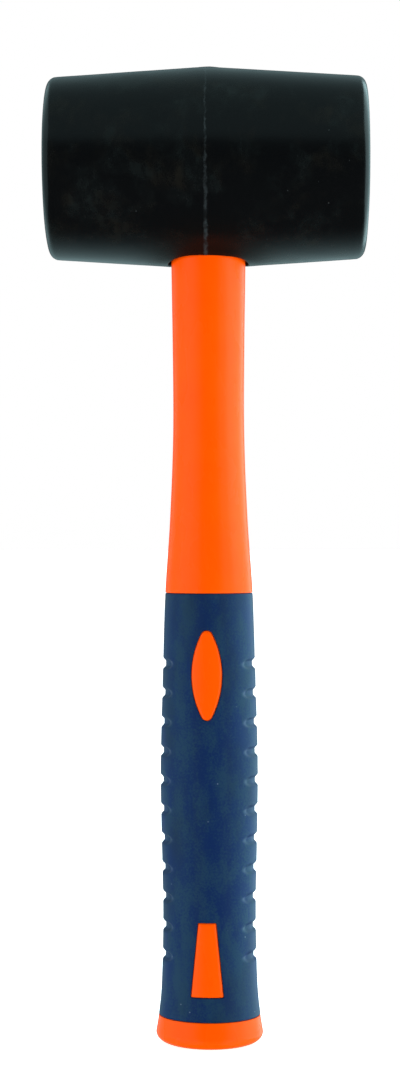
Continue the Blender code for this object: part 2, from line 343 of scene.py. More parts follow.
def net(shape, columns, rows, place, openings):
    """Wrap a net of quads round a piece and close it in on the edge of each opening.

    columns are angles round the piece and rows are distances along it. An opening is a block of
    the net and a function from a side and a share of it to the opening's edge, as angle and
    distance. Returns the rings at both ends and the ring at each opening's edge.
    """
    inside, covered = set(), set()
    for block, _ in openings:
        (i0, i1), (j0, j1) = block
        covered |= {(i, j) for i in range(i0, i1) for j in range(j0, j1)}
        inside |= {(i, j) for i in range(i0 + 1, i1) for j in range(j0 + 1, j1)}
    verts = {}
    for j, along in enumerate(rows):
        for i, angle in enumerate(columns):
            if (i, j) not in inside:
                verts[i, j] = shape.verts.new(place(angle, along))
    count = len(columns)
    for j in range(len(rows) - 1):
        for i in range(count):
            if (i, j) not in covered:
                k = (i + 1) % count
                shape.faces.new((verts[i, j], verts[k, j], verts[k, j + 1], verts[i, j + 1]))
    edges = []
    for block, edge in openings:
        spots = []
        for side, places in enumerate(block_sides(columns, rows, block)):
            spots += [(at, side, share) for at, share in places]
        ring = [verts[at] for at, side, share in spots]
        for step in range(1, NET_RINGS + 1):
            reach = 1 - (1 - step / NET_RINGS) ** NET_CROWDING
            points = []
            for (i, j), side, share in spots:
                angle, along = edge(side, share)
                angle = columns[i] + (angle - columns[i]) * reach
                along = rows[j] + (along - rows[j]) * reach
                points.append(place(angle, along))
            ring = run_rings(shape, ring, [points])
        edges.append((ring, [(side, share) for at, side, share in spots]))
    first = [verts[i, 0] for i in range(count)]
    last = [verts[i, len(rows) - 1] for i in range(count)]
    return first, last, edges


def finish_mesh(shape, name, material, replaced, turn=0.0):
    """Make the shape a piece that stands for a node of the frame, turned about the handle's axis."""
    bmesh.ops.rotate(shape, verts=shape.verts, cent=(0, 0, 0), matrix=Matrix.Rotation(turn, 3, "Z"))
    bmesh.ops.recalc_face_normals(shape, faces=shape.faces)
    mesh = bpy.data.meshes.new(name)
    shape.to_mesh(mesh)
    shape.free()
    mesh.shade_smooth()
    mesh.set_sharp_from_angle(angle=SHARP_ANGLE)
    piece = bpy.data.objects.new(name, mesh)
    bpy.context.scene.collection.objects.link(piece)
    mesh.materials.append(material)
    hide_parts(replaced)
    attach(piece, "root")


def ripple(point, size, seed):
    """Smooth noise from -1 to 1 with bumps of about the given size."""
    return noise.noise(Vector(point) / size + Vector((seed, 2.7 * seed, 0.4)))


def ripples(point, layers, start=0.0):
    """Several layers of noise, each given as height, size and seed, on top of a start value."""
    return sum((height * ripple(point, size, seed) for height, size, seed in layers), start)


def smooth_step(value):
    value = min(max(value, 0.0), 1.0)
    return value * value * (3 - 2 * value)


# ---------------------------------------------------------------- head


def head_radius(x):
    """Radius of the head's skin at a distance from its middle, before flash and ripples."""
    if abs(x) < HEAD_CREST_BLEND:
        blend_r = HEAD_CREST_BLEND / sin(HEAD_LEAN)
        return HEAD_CREST_R - blend_r / cos(HEAD_LEAN) + sqrt(blend_r ** 2 - x ** 2)
    return HEAD_CREST_R - abs(x) * tan(HEAD_LEAN)


def head_ripple(point):
    return ripples(point, HEAD_RIPPLES)


def flash_rise(angle, x):
    """Height of the flash bead: a thin ridge that wanders, thickens and breaks off along its run."""
    if abs(x - FLASH_X) > FLASH_REACH:
        return 0.0
    spot = Vector((cos(angle), sin(angle), 0)) * HEAD_CREST_R
    middle = FLASH_X + FLASH_WANDER * ripple(spot, FLASH_WANDER_SIZE, 5.2)
    vigour = min(max(ripples(spot, FLASH_BREAKS, FLASH_VIGOUR), 0.0), 1.0)
    return FLASH_HEIGHT * vigour * exp(-((x - middle) / FLASH_HALF_WIDTH) ** 2)


def eye_lip(angle, x, radius):
    """Swelling of the rubber in front of the handle and behind it, where the mouth grips it."""
    y = radius * sin(angle)
    from_axis = hypot(x, y)
    if cos(angle) < 0 or from_axis > 2 * EYE_MOUTH_R:
        return 0.0
    swell = 1 + exp(-((x - EYE_LIP_BULGE_X) / EYE_LIP_BULGE_REACH) ** 2)
    fade = exp(-((from_axis - EYE_MOUTH_R) / EYE_LIP_REACH) ** 2)
    return EYE_LIP * swell * (y / from_axis) ** 2 * fade


def head_skin(angle, x):
    """A point of the head's skin; the angle is 0 underneath, at the handle, and pi on top."""
    radius = head_radius(x - HEAD_SHIFT)
    direction = Vector((0, sin(angle), -cos(angle)))
    foot = Vector((x, 0, HEAD_AXIS_Z))
    lift = head_ripple(foot + direction * radius) + flash_rise(angle, x)
    return foot + direction * (radius + lift + eye_lip(angle, x, radius))


def eye_edge(centre, radius, side, share):
    """Angle and distance of the edge of one of the eye's holes in the skin."""
    across, forward = eye_round(0.0, radius, [(side, share)], centre)[0][:2]
    return centre + asin(forward * cos(centre) / head_radius(across - HEAD_SHIFT)), across


def eye_point(centre, radius, side, share, sink):
    """A point on the wall of a hole, sunk below the skin along the handle."""
    point = head_skin(*eye_edge(centre, radius, side, share))
    point.z += sink * cos(centre)
    return point


def eye_round(z, radius, places, centre, pocket=False):
    """A level ring of a hole: round at the top and in the pocket, a squared oval at the mouth."""
    mouth = centre == 0.0 and not pocket
    stretch, power = (EYE_MOUTH_OVAL, EYE_MOUTH_SQUARE) if mouth else (0.0, 1.0)
    points = []
    for side, share in places:
        turn = radians(-135 + 90 * side + 90 * share)
        across = copysign(abs(sin(turn)) ** power, sin(turn)) * (radius + stretch)
        forward = copysign(abs(cos(turn)) ** power, cos(turn)) * radius
        points.append((across, forward * cos(centre), z))
    return points


def edge_roll(radius, steps):
    """Quarter-round edge: pairs of distance outside the wall and depth below the skin."""
    return [(radius * (1 - sin(turn)), radius * (1 - cos(turn))) for turn in quarter_turns(steps)[1:]]


def make_head(material):
    shape = bmesh.new()
    half_rows = stepped(HEAD_ROW_RUNS)
    rows = [FLASH_X + x for x in [-x for x in reversed(half_rows[1:])] + half_rows]
    columns = [radians(-90 + 360 / HEAD_COLUMNS * i) for i in range(HEAD_COLUMNS)]
    holes = (
        (0.0, EYE_MOUTH_R, EYE_MOUTH_EDGE_R, EYE_MOUTH_CLEAR),
        (pi, EYE_TOP_R, EYE_TOP_EDGE_R, EYE_TOP_CLEAR),
    )
    openings = []
    for centre, wall_r, edge_r, (reach_x, reach_angle) in holes:
        block = (
            (nearest(columns, centre - reach_angle), nearest(columns, centre + reach_angle)),
            (nearest(rows, -reach_x), nearest(rows, reach_x)),
        )

        def edge(side, share, centre=centre, radius=wall_r + edge_r):
            return eye_edge(centre, radius, side, share)

        openings.append((block, edge))
    left, right, edges = net(shape, columns, rows, head_skin, openings)

    for ring, end in ((left, -1), (right, 1)):
        rings = []
        for i in range(1, HEAD_RIM_STEPS + 1):
            roll = HEAD_LEAN + (pi / 2 - HEAD_LEAN) * i / HEAD_RIM_STEPS
            x = HEAD_SHIFT + end * (HEAD_RIM_X + HEAD_RIM_R * sin(roll))
            radius = HEAD_RIM_CENTRE_R + HEAD_RIM_R * cos(roll)
            rings.append([face_point(angle, x, radius, end) for angle in columns])
        face_x = HEAD_SHIFT + end * HEAD_HALF
        for share in FACE_SHARES:
            rings.append([face_point(angle, face_x, HEAD_RIM_CENTRE_R * share, end) for angle in columns])
        close_ring(shape, run_rings(shape, ring, rings), (face_x, 0, HEAD_AXIS_Z))

    pocket_rings = []
    for (ring, places), (centre, wall_r, edge_r, _) in zip(edges, holes):
        rings = []
        for out, sink in edge_roll(edge_r, EYE_EDGE_STEPS):
            rings.append([eye_point(centre, wall_r + out, side, share, sink) for side, share in places])
        if centre == 0.0:
            rings.append(eye_round(EYE_MOUTH_TOP_Z, wall_r, places, centre))
            rings.append(eye_round(EYE_MOUTH_TOP_Z, EYE_POCKET_R, places, centre, pocket=True))
            rings.append(eye_round(EYE_POCKET_TOP_Z, EYE_POCKET_R, places, centre, pocket=True))
        else:
            rings.append(eye_round(EYE_POCKET_TOP_Z, wall_r, places, centre))
        pocket_rings.append(run_rings(shape, ring, rings))
    bridge(shape, *pocket_rings)
    finish_mesh(shape, "moulded_head", material, "head")


def face_point(angle, x, radius, end):
    """A point of the rim or of a striking face, with the slight unevenness of the moulding."""
    point = Vector((x, radius * sin(angle), HEAD_AXIS_Z - radius * cos(angle)))
    outward = Vector((end, 0, 0))
    return point + outward * (head_ripple(point) - FACE_SINK)


# ---------------------------------------------------------------- handle and grip


def handle_half_sizes(z):
    """Half width and half depth of the handle at a height, on a smooth curve through the stations."""
    rows = HANDLE_STATIONS
    z = min(max(z / MM, rows[0][0]), rows[-1][0])
    k = max(i for i in range(len(rows) - 1) if rows[i][0] <= z)

    def slope(i, column):
        a, b = rows[max(i - 1, 0)], rows[min(i + 1, len(rows) - 1)]
        return (b[column] - a[column]) / (b[0] - a[0])

    span = rows[k + 1][0] - rows[k][0]
    t = (z - rows[k][0]) / span
    sizes = []
    for column in (1, 2):
        rise = t * t * (3 - 2 * t)
        lead = t * (1 - t) ** 2 * span * slope(k, column)
        trail = t * t * (t - 1) * span * slope(k + 1, column)
        value = rows[k][column] * (1 - rise) + rows[k + 1][column] * rise + lead + trail
        sizes.append(value / 2 * MM)
    return sizes


def handle_point(angle, z, inset=0.0):
    half_x, half_y = handle_half_sizes(z)
    return Vector(((half_x - inset) * cos(angle), (half_y - inset) * sin(angle), z))


def notch_sink(point):
    """How far the grip is pulled in at a place by the finger notches."""
    nearest_notch = min(max(round((point.z - NOTCH_FIRST_Z) / NOTCH_PITCH), 0), NOTCH_COUNT - 1)
    up = point.z - (NOTCH_FIRST_Z + nearest_notch * NOTCH_PITCH)
    along = max(abs(point.y) - (NOTCH_REACH_Y - NOTCH_TAIL), 0) * NOTCH_HALF_MOUTH / NOTCH_TAIL
    if point.x == 0 or abs(point.y) > NOTCH_REACH_Y:
        return 0.0
    return NOTCH_DEPTH * smooth_step((NOTCH_HALF_MOUTH - hypot(up, along)) / NOTCH_RAMP)


def gate_rise(point):
    """Height of the gate mark on the front of the grip."""
    if point.y > 0:
        return 0.0
    return GATE_HEIGHT * smooth_step(GATE_SKIRT - hypot(point.x, point.z - GATE_Z) / GATE_R)


def grip_skin(angle, z, inset=0.0):
    base = handle_point(angle, z)
    return handle_point(angle, z, inset + notch_sink(base) - gate_rise(base) - ripples(base, GRIP_RIPPLES))


def grip_lining(angle, z):
    return handle_point(angle, z, GRIP_LINING_INSET)


def jacket_skin(angle, z, inset=0.0):
    return handle_point(angle, z, inset - ripples(handle_point(angle, z), JACKET_RIPPLES))


def waist_skin(angle, z):
    return handle_point(angle, z, GRIP_WALL)


def arc_point(centre_x, centre_z, radius, start, end, share):
    turn = start + (end - start) * share
    return centre_x + radius * cos(turn), centre_z + radius * sin(turn)


def lens_edge(grow, side, share):
    """Edge of the pointed oval: side 0 is the lower tip, 1 the right flank, 2 the upper tip."""
    half_w, tip = LENS_HALF_WIDTH + grow, LENS_TIP_R + grow
    tip_z = LENS_HALF_HEIGHT + grow - tip
    flank = (half_w ** 2 + tip_z ** 2 - tip ** 2) / (2 * (half_w - tip))
    sweep = asin(tip_z / (flank - tip))
    if side == 0:
        return arc_point(0, LENS_CENTRE_Z - tip_z, tip, pi + sweep, 2 * pi - sweep, share)
    if side == 1:
        return arc_point(half_w - flank, LENS_CENTRE_Z, flank, -sweep, sweep, share)
    if side == 2:
        return arc_point(0, LENS_CENTRE_Z + tip_z, tip, sweep, pi - sweep, share)
    return arc_point(flank - half_w, LENS_CENTRE_Z, flank, pi - sweep, pi + sweep, share)


def wedge_edge(grow, side, share):
    """Edge of the trapezoid with rounded corners: side 0 is the bottom, then anticlockwise."""
    low, high = WEDGE_LOW_Z - grow, WEDGE_HIGH_Z + grow
    wide, narrow = WEDGE_LOW_HALF + grow, WEDGE_HIGH_HALF + grow
    corners = [Vector((-wide, low)), Vector((wide, low)), Vector((narrow, high)), Vector((-narrow, high))]
    radius = max(WEDGE_CORNER_R + grow, WEDGE_LEAST_CORNER_R)
    bend = WEDGE_CORNER_SHARE

    def corner(k):
        """Centre of a corner's arc and the directions of its ends from there."""
        here = corners[k % 4]
        before = (corners[(k - 1) % 4] - here).normalized()
        after = (corners[(k + 1) % 4] - here).normalized()
        half = (before - after).length / 2
        centre = here + (before + after).normalized() * radius / half
        return centre, Vector((-before.y, before.x)), Vector((after.y, -after.x))

    def around(k, part):
        centre, start, end = corner(k)
        return centre + (start * (1 - part) + end * part).normalized() * radius

    if share < bend:
        point = around(side, 0.5 + 0.5 * share / bend)
    elif share > 1 - bend:
        point = around(side + 1, 0.5 * (share - 1 + bend) / bend)
    else:
        part = (share - bend) / (1 - 2 * bend)
        point = around(side, 1.0) * (1 - part) + around(side + 1, 0.0) * part
    return point.x, point.y


def window_angle(face, x, z, inset):
    """Angle round the handle at which a point across the front or back lies."""
    half_x = handle_half_sizes(z)[0] - inset
    return face + (asin(x / half_x) if face == FRONT else -asin(x / half_x))


def window_block(columns, rows, face, low, high):
    across = (nearest(columns, face - WINDOW_HALF_ANGLE), nearest(columns, face + WINDOW_HALF_ANGLE))
    return across, (nearest(rows, low - WINDOW_MARGIN_Z), nearest(rows, high + WINDOW_MARGIN_Z))


def window_openings(columns, rows, grow, inset):
    """The four windows as openings of a net over the handle."""
    openings = []
    for face in (FRONT, BACK):
        for outline, low, high in window_outlines():
            block = window_block(columns, rows, face, low, high)

            def edge(side, share, face=face, outline=outline):
                x, z = mirrored(outline, grow, face, side, share)
                return window_angle(face, x, z, inset), z

            openings.append((block, edge))
    return openings


def window_outlines():
    return (
        (wedge_edge, WEDGE_LOW_Z, WEDGE_HIGH_Z),
        (lens_edge, LENS_CENTRE_Z - LENS_HALF_HEIGHT, LENS_CENTRE_Z + LENS_HALF_HEIGHT),
    )


def mirrored(outline, grow, face, side, share):
    """The outline as seen from its own side, so that it runs with the net's angle."""
    x, z = outline(grow, side, share)
    return (x, z) if face == FRONT else (-x, z)


def wall_point(face, outline, grow, side, share, depth):
    """A point on a window's wall or an island's flank, sunk straight in below the grip's skin."""
    x, z = mirrored(outline, grow, face, side, share)
    point = handle_point(window_angle(face, x, z, 0.0), z)
    point.y -= depth if point.y > 0 else -depth
    return point


def close_patch(shape, ring, places, outline, face, grow, depth):
    """Fill a four-sided ring with a net of quads that follows the handle's curve."""
    sides = [[k for k, place in enumerate(places) if place[0] == side] for side in range(4)]
    starts = [row[0] for row in sides]
    corner = [mirrored(outline, grow, face, side, 0.0) for side in range(4)]
    across = [places[k][1] for k in sides[0]] + [1.0]
    upward = [places[k][1] for k in sides[1]] + [1.0]
    last_i, last_j = len(across) - 1, len(upward) - 1
    count = len(ring)

    def border(i, j):
        """Ring vertex at a border place of the patch, or None inside it."""
        if j == 0:
            return ring[(starts[0] + i) % count]
        if i == last_i:
            return ring[(starts[1] + j) % count]
        if j == last_j:
            return ring[(starts[2] + last_i - i) % count]
        if i == 0:
            return ring[(starts[3] + last_j - j) % count]
        return None

    grid = {}
    for j, v in enumerate(upward):
        for i, u in enumerate(across):
            grid[i, j] = border(i, j)
            if grid[i, j]:
                continue
            low = mirrored(outline, grow, face, 0, u)
            right = mirrored(outline, grow, face, 1, v)
            high = mirrored(outline, grow, face, 2, 1 - u)
            left = mirrored(outline, grow, face, 3, 1 - v)
            spot = []
            for axis in (0, 1):
                edges = (1 - v) * low[axis] + v * high[axis] + (1 - u) * left[axis] + u * right[axis]
                lower = (1 - u) * corner[0][axis] + u * corner[1][axis]
                upper = (1 - u) * corner[3][axis] + u * corner[2][axis]
                spot.append(edges - (1 - v) * lower - v * upper)
            point = handle_point(window_angle(face, spot[0], spot[1], 0.0), spot[1])
            point.y -= depth if point.y > 0 else -depth
            grid[i, j] = shape.verts.new(point)
    for j in range(last_j):
        for i in range(last_i):
            shape.faces.new((grid[i, j], grid[i + 1, j], grid[i + 1, j + 1], grid[i, j + 1]))


def grip_columns():
    """Angles round the grip: the same quarter four times, every second one mirrored."""
    quarter = stepped(GRIP_COLUMN_RUNS)
    mirrored_quarter = [90 - angle for angle in quarter[:0:-1]]
    columns = []
    for turn in range(4):
        columns += [radians(90 * turn + angle) for angle in (mirrored_quarter if turn % 2 else quarter[:-1])]
    return columns


def grip_rows():
    """Heights up the grip, closer together across each notch."""
    low, high = GRIP_LOW_Z + GRIP_EDGE_R, GRIP_HIGH_Z - GRIP_EDGE_R
    rows = spread([low, NOTCH_FIRST_Z - NOTCH_HALF_MOUTH], GRIP_ROW_STEP)
    for i in range(NOTCH_COUNT):
        centre = NOTCH_FIRST_Z + i * NOTCH_PITCH
        rows += spread([centre - NOTCH_HALF_MOUTH, centre + NOTCH_HALF_MOUTH], NOTCH_ROW_STEP)[1:]
        above = centre + NOTCH_PITCH - NOTCH_HALF_MOUTH
        if i < NOTCH_COUNT - 1:
            rows += spread([centre + NOTCH_HALF_MOUTH, above], NOTCH_BETWEEN_STEP)[1:]
    return rows + spread([rows[-1], high], GRIP_ROW_STEP)[1:]


def make_grip(material):
    shape = bmesh.new()
    columns, rows = grip_columns(), grip_rows()
    grow = WINDOW_CLEARANCE
    skin_openings = window_openings(columns, rows, grow + WINDOW_EDGE_R, 0.0)
    lining_openings = window_openings(columns, rows, grow, GRIP_LINING_INSET)
    outside = net(shape, columns, rows, grip_skin, skin_openings)
    inside = net(shape, columns, rows, grip_lining, lining_openings)

    for (ring, places), (lining, _), (face, outline) in zip(outside[2], inside[2], windows()):
        rings = []
        for out, sink in edge_roll(WINDOW_EDGE_R, WINDOW_EDGE_STEPS):
            ring_grow = grow + out
            rings.append([wall_point(face, outline, ring_grow, side, share, sink) for side, share in places])
        join_rings(shape, run_rings(shape, ring, rings), lining)

    for end, z, way in ((0, rows[0], -1), (1, rows[-1], 1)):
        rings = []
        for turn in quarter_turns(GRIP_EDGE_STEPS)[1:]:
            level = z + way * GRIP_EDGE_R * sin(turn)
            rings.append([handle_point(angle, level, GRIP_EDGE_R * (1 - cos(turn))) for angle in columns])
        rings.append([handle_point(angle, z + way * GRIP_EDGE_R, GRIP_LINING_INSET) for angle in columns])
        join_rings(shape, run_rings(shape, outside[end], rings), inside[end])
    finish_mesh(shape, "soft_grip", material, "grip", HANDLE_TURN)


def windows():
    """Face and outline of each window, in the order of the openings."""
    return [(face, outline) for face in (FRONT, BACK) for outline, low, high in window_outlines()]


def butt_rings(columns):
    """Rings from the middle of the butt's flat face out and round its edge."""
    wide_x, wide_y = handle_half_sizes(BUTT_WIDEST_Z)
    rings = []
    for share in BUTT_FLAT_SHARES:
        rings.append([(BUTT_FLAT_X * share * cos(a), BUTT_FLAT_Y * share * sin(a), 0.0) for a in columns])
    for turn in quarter_turns(BUTT_EDGE_STEPS):
        half_x = BUTT_FLAT_X + (wide_x - BUTT_FLAT_X) * sin(turn)
        half_y = BUTT_FLAT_Y + (wide_y - BUTT_FLAT_Y) * sin(turn)
        z = BUTT_WIDEST_Z * (1 - cos(turn))
        rings.append([(half_x * cos(a), half_y * sin(a), z) for a in columns])
    return rings


def make_handle_jacket(material):
    shape = bmesh.new()
    columns = angles_round(JACKET_COLUMNS)
    shoulder_low, shoulder_high = GRIP_LOW_Z - HAIRLINE, GRIP_HIGH_Z + HAIRLINE
    waist_rows = spread([shoulder_low, shoulder_high], WAIST_ROW_STEP)
    openings = window_openings(columns, waist_rows, 0.0, GRIP_WALL)
    low_ring, high_ring, edges = net(shape, columns, waist_rows, waist_skin, openings)

    for (ring, places), (face, outline) in zip(edges, windows()):
        rings = []
        for turn in quarter_turns(ISLAND_EDGE_STEPS):
            inwards = ISLAND_EDGE_WIDTH * (1 - cos(turn))
            depth = ISLAND_SINK + ISLAND_EDGE_DROP * (1 - sin(turn))
            rings.append([wall_point(face, outline, -inwards, side, share, depth) for side, share in places])
        top = run_rings(shape, ring, rings)
        close_patch(shape, top, places, outline, face, -ISLAND_EDGE_WIDTH, ISLAND_SINK)

    low_edge, high_edge = [], []
    for turn in reversed(quarter_turns(SHOULDER_EDGE_STEPS)):
        out, inset = SHOULDER_EDGE_R * (1 - sin(turn)), SHOULDER_EDGE_R * (1 - cos(turn))
        low_edge.append([handle_point(a, shoulder_low - out, inset) for a in columns])
        high_edge.append([handle_point(a, shoulder_high + out, inset) for a in columns])
    butt_levels = spread([BUTT_WIDEST_Z, shoulder_low - SHOULDER_EDGE_R], BUTT_ROW_STEP)[1:-1]
    rings = low_edge + [[jacket_skin(a, z) for a in columns] for z in reversed(butt_levels)]
    rings += list(reversed(butt_rings(columns)))
    close_ring(shape, run_rings(shape, low_ring, rings), (0, 0, 0))

    shaft_levels = spread([shoulder_high + SHOULDER_EDGE_R, SHAFT_END_Z], SHAFT_ROW_STEP)[1:]
    rings = high_edge + [[jacket_skin(a, z) for a in columns] for z in shaft_levels]
    for radius, z in (
        (TANG_R, EYE_MOUTH_TOP_Z),
        (TANG_R, JACKET_BOX[1].z - TANG_CHAMFER),
        (TANG_R - TANG_CHAMFER, JACKET_BOX[1].z),
        (BORE_R, JACKET_BOX[1].z),
        (BORE_R, BORE_END_Z),
    ):
        rings.append([(radius * cos(a), radius * sin(a), z) for a in columns])
    close_ring(shape, run_rings(shape, high_ring, rings), (0, 0, BORE_END_Z))
    finish_mesh(shape, "handle_moulding", material, "handle_jacket", HANDLE_TURN)


# ---------------------------------------------------------------- core and glue


def level_ring(columns, radius, z, wobble=0.0, seed=0.0):
    """A ring at one height, which may rise and fall a little."""
    points = []
    for angle in columns:
        spot = Vector((cos(angle), sin(angle), 0)) * radius
        points.append((spot.x, spot.y, z + wobble * ripple(spot, WOBBLE_SIZE, seed)))
    return points


def make_core_rod(material):
    """Pultruded rod; its sawn end sits flush in the top of the head."""
    shape = bmesh.new()
    columns = angles_round(CORE_COLUMNS)
    low, high = CORE_BOX[0].z, CORE_BOX[1].z
    sawn = [level_ring(columns, CORE_R * share, high, SAW_WOBBLE, SAW_SEED) for share in SAWN_SHARES]
    rings = sawn[1:]
    for turn in (0, 30, 60, 90):
        inset, down = CORE_BEVEL * (1 - sin(radians(turn))), CORE_BEVEL * (1 - cos(radians(turn)))
        rings.append(level_ring(columns, CORE_R - inset, high - down, SAW_WOBBLE, SAW_SEED))
    rings += [level_ring(columns, CORE_R, z) for z in (high - CORE_SAWN_END, low + CORE_BEVEL)]
    rings.append(level_ring(columns, CORE_R - CORE_BEVEL, low))
    first = ring_of(shape, sawn[0])
    close_ring(shape, first, (0, 0, high))
    close_ring(shape, run_rings(shape, first, rings), (0, 0, low))
    finish_mesh(shape, "fibreglass_core", material, "core_rod")


def make_eye_glue(material):
    """Glue round the tang and the core, with a sunk, slightly uneven meniscus at the top."""
    shape = bmesh.new()
    columns = angles_round(CORE_COLUMNS)
    top, low = GLUE_BOX[1].z, GLUE_BOX[0].z
    inner, outer = CORE_R + GLUE_CLEARANCE, EYE_TOP_R - GLUE_CLEARANCE
    pocket_r, pocket_z = EYE_POCKET_R - PIECE_GAP, EYE_POCKET_TOP_Z - PIECE_GAP
    tang_r, tang_z = TANG_R + GLUE_OVER_TANG, JACKET_BOX[1].z + GLUE_ABOVE_TANG
    rings = []
    for share in GLUE_SHARES:
        radius = inner + (outer - inner) * share
        dip = GLUE_DIP * (1 - (2 * share - 1) ** 2) + GLUE_SLOPE * share
        rings.append(level_ring(columns, radius, top - GLUE_SINK - dip, GLUE_WOBBLE, GLUE_SEED))
    for radius, z in (
        (outer, pocket_z),
        (pocket_r, pocket_z),
        (pocket_r, low),
        (tang_r, low),
        (tang_r, tang_z),
        (inner, tang_z),
    ):
        rings.append(level_ring(columns, radius, z))
    first = ring_of(shape, rings[0])
    join_rings(shape, run_rings(shape, first, rings[1:]), first)
    finish_mesh(shape, "eye_glue", material, "eye_epoxy")


# ---------------------------------------------------------------- materials


def linear(hex_colour):
    """sRGB hex to linear, with full alpha."""
    values = [int(hex_colour[i:i + 2], 16) / 255 for i in (1, 3, 5)]
    return [v / 12.92 if v <= 0.04045 else ((v + 0.055) / 1.055) ** 2.4 for v in values] + [1.0]


def per_mm(size):
    """Texture scale that gives features of about this size in millimetres."""
    return 1000.0 / size


def add(tree, kind, inputs=None, **settings):
    """Add a node: settings are its properties, inputs its values or the sockets to link to them."""
    made = tree.nodes.new("ShaderNode" + kind)
    for name, value in settings.items():
        setattr(made, name, value)
    for name, value in (inputs or {}).items():
        if isinstance(value, bpy.types.NodeSocket):
            tree.links.new(value, made.inputs[name])
        else:
            made.inputs[name].default_value = value
    return made


def new_material(name, colour):
    made = bpy.data.materials.new(name)
    made.use_nodes = True
    made.diffuse_color = linear(colour)
    tree = made.node_tree
    tree.nodes.clear()
    return made, tree


